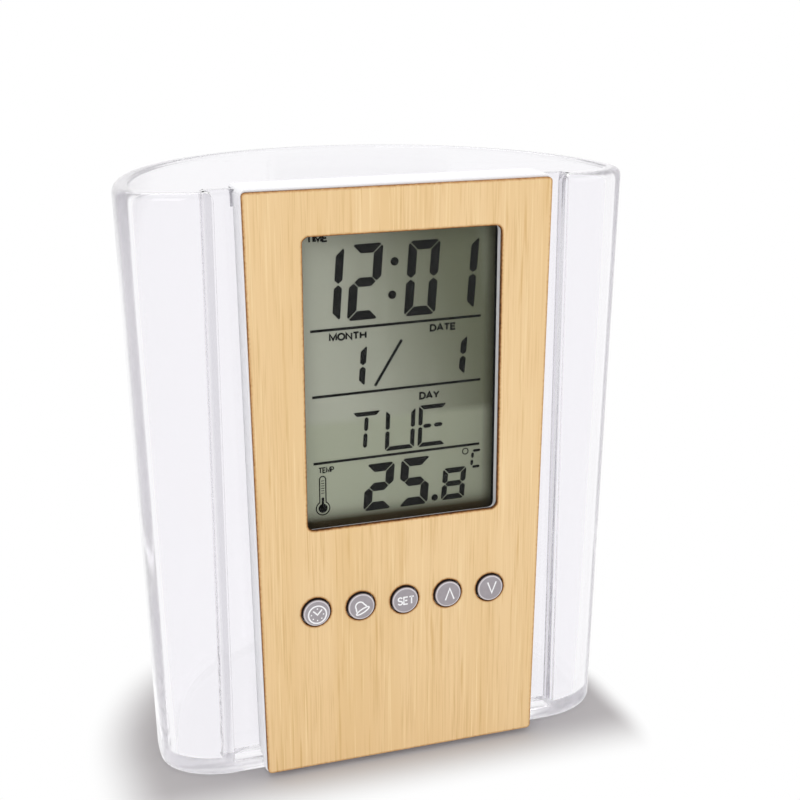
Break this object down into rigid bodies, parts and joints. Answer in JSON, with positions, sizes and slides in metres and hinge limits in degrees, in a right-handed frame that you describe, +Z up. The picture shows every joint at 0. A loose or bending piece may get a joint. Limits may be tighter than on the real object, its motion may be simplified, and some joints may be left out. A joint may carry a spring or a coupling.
{
  "type": "pen holder clock",
  "caption": "Clear D-shaped desk pen cup with a flat bamboo-faced digital clock module hooked over its front wall; display window and a row of round keys.",
  "frame": {"origin": "on the table, under the middle of the object's footprint box", "axes": "+Z up, +X to the right seen from the front, +Y from the clock face to the round back"},
  "size_m": [0.1006, 0.0654, 0.1172],
  "materials": {
    "clear_plastic": "clear moulded polystyrene, glossy",
    "bamboo": "bamboo veneer, satin, burnt-brown cut edges",
    "case_plastic": "glossy white moulded plastic",
    "polarizer": "grey-green film, satin",
    "display_glass": "clear glass",
    "display_ink": "dark liquid crystal segments",
    "reflector": "grey-green reflector",
    "elastomer": "striped conductive elastomer",
    "board": "green solder mask",
    "epoxy": "black epoxy",
    "ceramic": "fired ceramic",
    "silicone": "grey silicone",
    "key_plastic": "dark grey satin plastic, white marks",
    "steel": "nickel plated steel",
    "brass": "brass"
  },
  "bodies": {
    "cup": {"cup": "clear_plastic"},
    "clock_module": {"bamboo_face": "bamboo", "case_front": "case_plastic", "case_back": "case_plastic", "display_polarizer": "polarizer", "display_front_glass": "display_glass", "display_image": "display_ink", "display_rear_glass": "display_glass", "display_reflector": "reflector", "zebra_strip_top": "elastomer", "zebra_strip_bottom": "elastomer", "circuit_board": "board", "board_screw_1": "steel", "board_screw_2": "steel", "board_screw_3": "steel", "board_screw_4": "steel", "chip_blob": "epoxy", "crystal": "steel", "thermistor": "epoxy", "capacitor_1": "ceramic", "capacitor_2": "ceramic", "buzzer_plate": "brass", "buzzer_ceramic": "ceramic", "key_mat": "silicone", "coin_cell": "steel", "contact_negative": "brass", "contact_positive": "brass", "case_screw_1": "steel", "case_screw_2": "steel", "case_screw_3": "steel", "case_screw_4": "steel"},
    "clock_key": {"clock_key": "key_plastic"},
    "alarm_key": {"alarm_key": "key_plastic"},
    "set_key": {"set_key": "key_plastic"},
    "up_key": {"up_key": "key_plastic"},
    "down_key": {"down_key": "key_plastic"},
    "battery_cover": {"battery_cover": "case_plastic"}
  },
  "joints": [
    {"name": "module_lift", "type": "slide", "parent": "cup", "child": "clock_module", "axis": [0, 0, 1], "range_m": [0, 0.12]},
    {"name": "clock_key_press", "type": "slide", "parent": "clock_module", "child": "clock_key", "axis": [0, 1, 0], "range_m": [0, 0.0005], "stiffness_N_per_m": 1000},
    {"name": "alarm_key_press", "type": "slide", "parent": "clock_module", "child": "alarm_key", "axis": [0, 1, 0], "range_m": [0, 0.0005], "stiffness_N_per_m": 1000},
    {"name": "set_key_press", "type": "slide", "parent": "clock_module", "child": "set_key", "axis": [0, 1, 0], "range_m": [0, 0.0005], "stiffness_N_per_m": 1000},
    {"name": "up_key_press", "type": "slide", "parent": "clock_module", "child": "up_key", "axis": [0, 1, 0], "range_m": [0, 0.0005], "stiffness_N_per_m": 1000},
    {"name": "down_key_press", "type": "slide", "parent": "clock_module", "child": "down_key", "axis": [0, 1, 0], "range_m": [0, 0.0005], "stiffness_N_per_m": 1000},
    {"name": "battery_cover_twist", "type": "hinge", "parent": "clock_module", "child": "battery_cover", "pos_m": [0, -0.0265, 0.0166], "axis": [0, -1, 0], "range_deg": [0, 45]}
  ]
}
